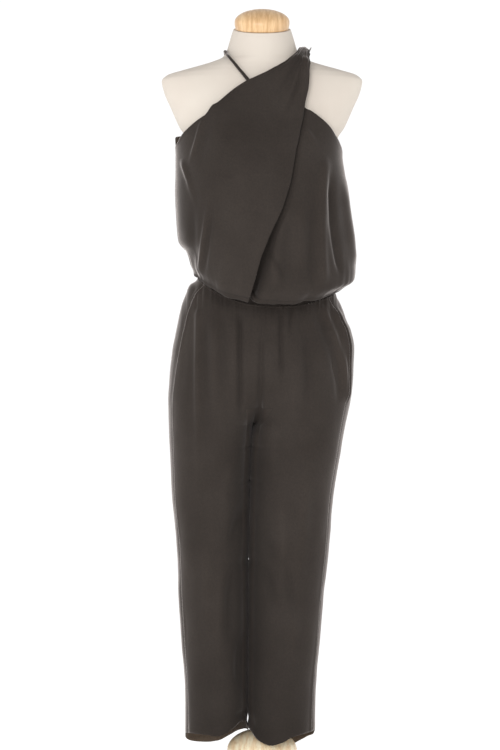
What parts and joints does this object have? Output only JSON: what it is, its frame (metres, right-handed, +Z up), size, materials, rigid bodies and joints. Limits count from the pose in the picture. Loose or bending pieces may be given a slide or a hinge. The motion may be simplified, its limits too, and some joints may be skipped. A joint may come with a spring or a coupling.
{
  "type": "jumpsuit on dress form",
  "caption": "Full-length trousers joined at an elasticated waist to a wrapped one-shoulder blouson bodice, held out on a limbless dress form with a pole and round base",
  "frame": {"origin": "middle of the base's flat underside, on the pole's axis", "axes": "+Z up, the garment faces -Y, +X is the wearer's left"},
  "size_m": [0.401, 0.34, 1.5822],
  "materials": {
    "crepe": "matt warm-black crepe, slightly sheer",
    "jersey": "cream jersey stretched over the form",
    "cap_wood": "satin varnished pale wood",
    "steel": "brushed",
    "base_wood": "satin varnished pale wood"
  },
  "bodies": {
    "root": {"bodice_wrap_front": "crepe", "bodice_under_front": "crepe", "bodice_back": "crepe", "waistband": "crepe", "trouser_front_left": "crepe", "trouser_front_right": "crepe", "trouser_back_left": "crepe", "trouser_back_right": "crepe", "pocket_facing_left": "crepe", "pocket_facing_right": "crepe", "neck_strap": "crepe", "form_torso": "jersey", "form_neck_cap": "cap_wood", "form_pole": "steel", "form_base": "base_wood"}
  },
  "joints": []
}
